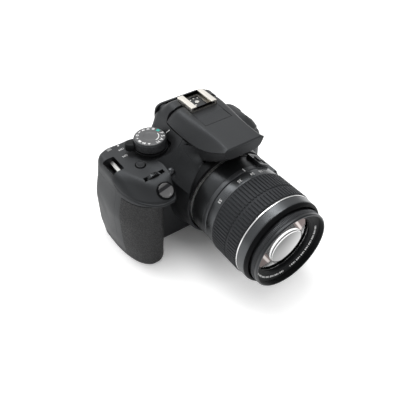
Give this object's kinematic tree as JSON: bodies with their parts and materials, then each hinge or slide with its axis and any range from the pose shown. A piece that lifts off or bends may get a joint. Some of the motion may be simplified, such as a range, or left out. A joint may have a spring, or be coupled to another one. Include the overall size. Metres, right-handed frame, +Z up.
{
  "type": "single-lens reflex camera",
  "caption": "Digital reflex camera with rubber grip, raised flash hood, accessory shoe, mode dial, rear screen and a ribbed standard zoom lens.",
  "frame": {"origin": "mouth of the tripod socket, in the plane of the base, under the lens axis", "axes": "+Z up, the lens looks along -Y, the grip is on the -X side"},
  "size_m": [0.1323, 0.1347, 0.1016],
  "materials": {
    "body_plastic": "fine matte texture",
    "control_plastic": "satin",
    "grip_rubber": "pebbled or ribbed",
    "gloss_black": "smooth",
    "lens_black": "satin",
    "inner_black": "plain",
    "bright_steel": "polished",
    "shoe_steel": "satin",
    "clear_glass": "coated",
    "mirror_glass": "polished",
    "sensor_board": "plain"
  },
  "bodies": {
    "body": {"front_cover": "body_plastic", "rear_cover": "body_plastic", "top_cover": "body_plastic", "bottom_cover": "body_plastic", "rubber_grips": "grip_rubber", "screws": "bright_steel", "tripod_bush": "bright_steel", "mirror_box": "inner_black", "mount_flange": "bright_steel", "focusing_screen": "clear_glass", "pentamirror": "inner_black", "eyepiece_lens": "clear_glass", "eyecup": "grip_rubber", "shutter_frame": "inner_black", "image_sensor": "sensor_board", "main_board": "sensor_board", "flash_hinge_pin": "bright_steel", "hot_shoe": "shoe_steel", "shoe_contacts": "inner_black", "strap_lugs": "bright_steel", "lcd_screen": "gloss_black", "battery": "inner_black", "red_eye_lamp": "clear_glass"},
    "lens_release": {"lens_release_button": "gloss_black"},
    "mirror": {"reflex_mirror": "mirror_glass"},
    "curtain": {"shutter_blades": "bright_steel"},
    "mode_dial": {"mode_dial": "control_plastic"},
    "power_switch": {"power_switch": "gloss_black"},
    "main_dial": {"main_dial": "grip_rubber"},
    "shutter_button": {"shutter_button": "gloss_black"},
    "flash_button": {"flash_button": "control_plastic"},
    "flash_hood": {"flash_head": "body_plastic", "flash_lamp": "clear_glass"},
    "diopter_knob": {"diopter_knob": "grip_rubber"},
    "battery_door": {"battery_door": "body_plastic"},
    "terminal_cover": {"terminal_cover": "grip_rubber"},
    "lens": {"lens_bayonet": "bright_steel", "fixed_barrel": "gloss_black", "rear_element": "clear_glass"},
    "zoom": {"zoom_ring": "gloss_black", "zoom_rubber": "grip_rubber"},
    "inner_barrel": {"front_barrel": "lens_black", "iris_unit": "lens_black"},
    "focus_carrier": {"focus_carrier": "lens_black"},
    "focus_group": {"focus_ring": "lens_black", "front_cell": "lens_black", "front_element": "clear_glass"},
    "af_switch": {"af_switch": "control_plastic"},
    "stabilizer_switch": {"stabilizer_switch": "control_plastic"},
    "key_up": {"key_up": "control_plastic"},
    "key_down": {"key_down": "control_plastic"},
    "key_left": {"key_left": "control_plastic"},
    "key_right": {"key_right": "control_plastic"},
    "set_button": {"set_button": "control_plastic"},
    "playback_button": {"playback_button": "control_plastic"},
    "menu_button": {"menu_button": "control_plastic"},
    "exposure_button": {"exposure_button": "control_plastic"},
    "live_view_button": {"live_view_button": "control_plastic"},
    "lock_button": {"lock_button": "control_plastic"},
    "af_point_button": {"af_point_button": "control_plastic"}
  },
  "joints": [
    {"name": "lens_release_press", "type": "slide", "parent": "body", "child": "lens_release", "axis": [0, 1, 0], "range_m": [0, 0.0015], "stiffness_N_per_m": 500, "springref_m": -0.0006},
    {"name": "mirror_lift", "type": "hinge", "parent": "body", "child": "mirror", "pos_m": [0, 0.0064, 0.0576], "axis": [-1, 0, 0], "range_deg": [0, 45], "stiffness_Nm_per_rad": 0.002, "springref_deg": -17.19},
    {"name": "curtain_drop", "type": "slide", "parent": "body", "child": "curtain", "axis": [0, 0, -1], "range_m": [0, 0.018], "stiffness_N_per_m": 5, "springref_m": -0.02},
    {"name": "mode_dial_turn", "type": "hinge", "parent": "body", "child": "mode_dial", "pos_m": [-0.0389, 0.0141, 0.0744], "axis": [0, 0, 1], "range_deg": [-205, 105]},
    {"name": "power_switch_turn", "type": "hinge", "parent": "body", "child": "power_switch", "pos_m": [-0.0389, 0.0141, 0.0744], "axis": [0, 0, 1], "range_deg": [0, 28]},
    {"name": "main_dial_turn", "type": "hinge", "parent": "body", "child": "main_dial", "pos_m": [-0.0514, -0.0107, 0.0663], "axis": [0, 1, 0], "continuous": true},
    {"name": "shutter_press", "type": "slide", "parent": "body", "child": "shutter_button", "axis": [0, 0.5736, -0.8192], "range_m": [0, 0.0009], "stiffness_N_per_m": 500, "springref_m": -0.0006},
    {"name": "flash_button_press", "type": "slide", "parent": "body", "child": "flash_button", "axis": [0, 0, -1], "range_m": [0, 0.0008], "stiffness_N_per_m": 500, "springref_m": -0.0006},
    {"name": "flash_hood_raise", "type": "hinge", "parent": "body", "child": "flash_hood", "pos_m": [0, 0.0105, 0.092], "axis": [-1, 0, 0], "range_deg": [0, 62]},
    {"name": "diopter_turn", "type": "hinge", "parent": "body", "child": "diopter_knob", "pos_m": [-0.0162, 0.0316, 0.0882], "axis": [0, 1, 0], "range_deg": [-150, 150]},
    {"name": "battery_door_open", "type": "hinge", "parent": "body", "child": "battery_door", "pos_m": [-0.055, 0.0035, 0.0015], "axis": [0, -1, 0], "range_deg": [0, 95]},
    {"name": "terminal_cover_open", "type": "hinge", "parent": "body", "child": "terminal_cover", "pos_m": [0.0521, 0.0023, 0.036], "axis": [0, 0, -1], "range_deg": [0, 100]},
    {"name": "lens_twist", "type": "hinge", "parent": "body", "child": "lens", "pos_m": [0, -0.0284, 0.041], "axis": [0, -1, 0], "range_deg": [0, 60]},
    {"name": "zoom_turn", "type": "hinge", "parent": "lens", "child": "zoom", "pos_m": [0, -0.068, 0.041], "axis": [0, 1, 0], "range_deg": [-16.5, 48.2]},
    {"name": "zoom_extend", "type": "slide", "parent": "lens", "child": "inner_barrel", "axis": [0, -1, 0], "range_m": [-0.00295, 0.0086]},
    {"name": "focus_extend", "type": "slide", "parent": "inner_barrel", "child": "focus_carrier", "axis": [0, -1, 0], "range_m": [0, 0.0041]},
    {"name": "focus_turn", "type": "hinge", "parent": "focus_carrier", "child": "focus_group", "pos_m": [0, -0.09, 0.041], "axis": [0, 1, 0], "range_deg": [0, 90]},
    {"name": "af_switch_slide", "type": "slide", "parent": "lens", "child": "af_switch", "axis": [0.8572, 0, -0.515], "range_m": [0, 0.0026]},
    {"name": "stabilizer_switch_slide", "type": "slide", "parent": "lens", "child": "stabilizer_switch", "axis": [0.3907, 0, -0.9205], "range_m": [0, 0.0026]},
    {"name": "key_up_press", "type": "slide", "parent": "body", "child": "key_up", "axis": [0, -1, 0], "range_m": [0, 0.0008], "stiffness_N_per_m": 500, "springref_m": -0.0006},
    {"name": "key_down_press", "type": "slide", "parent": "body", "child": "key_down", "axis": [0, -1, 0], "range_m": [0, 0.0008], "stiffness_N_per_m": 500, "springref_m": -0.0006},
    {"name": "key_left_press", "type": "slide", "parent": "body", "child": "key_left", "axis": [0, -1, 0], "range_m": [0, 0.0008], "stiffness_N_per_m": 500, "springref_m": -0.0006},
    {"name": "key_right_press", "type": "slide", "parent": "body", "child": "key_right", "axis": [0, -1, 0], "range_m": [0, 0.0008], "stiffness_N_per_m": 500, "springref_m": -0.0006},
    {"name": "set_button_press", "type": "slide", "parent": "body", "child": "set_button", "axis": [0, -1, 0], "range_m": [0, 0.0008], "stiffness_N_per_m": 500, "springref_m": -0.0006},
    {"name": "playback_button_press", "type": "slide", "parent": "body", "child": "playback_button", "axis": [0, -1, 0], "range_m": [0, 0.0008], "stiffness_N_per_m": 500, "springref_m": -0.0006},
    {"name": "menu_button_press", "type": "slide", "parent": "body", "child": "menu_button", "axis": [0, -1, 0], "range_m": [0, 0.0008], "stiffness_N_per_m": 500, "springref_m": -0.0006},
    {"name": "exposure_button_press", "type": "slide", "parent": "body", "child": "exposure_button", "axis": [0, -1, 0], "range_m": [0, 0.0008], "stiffness_N_per_m": 500, "springref_m": -0.0006},
    {"name": "live_view_button_press", "type": "slide", "parent": "body", "child": "live_view_button", "axis": [0, -1, 0], "range_m": [0, 0.0008], "stiffness_N_per_m": 500, "springref_m": -0.0006},
    {"name": "lock_button_press", "type": "slide", "parent": "body", "child": "lock_button", "axis": [0, -1, 0], "range_m": [0, 0.0008], "stiffness_N_per_m": 500, "springref_m": -0.0006},
    {"name": "af_point_button_press", "type": "slide", "parent": "body", "child": "af_point_button", "axis": [0, -1, 0], "range_m": [0, 0.0008], "stiffness_N_per_m": 500, "springref_m": -0.0006}
  ],
  "couplings": [
    {"joint": "zoom_extend", "follows": "zoom_turn", "m_per_rad": 0.0101},
    {"joint": "focus_extend", "follows": "focus_turn", "m_per_rad": 0.0026}
  ]
}
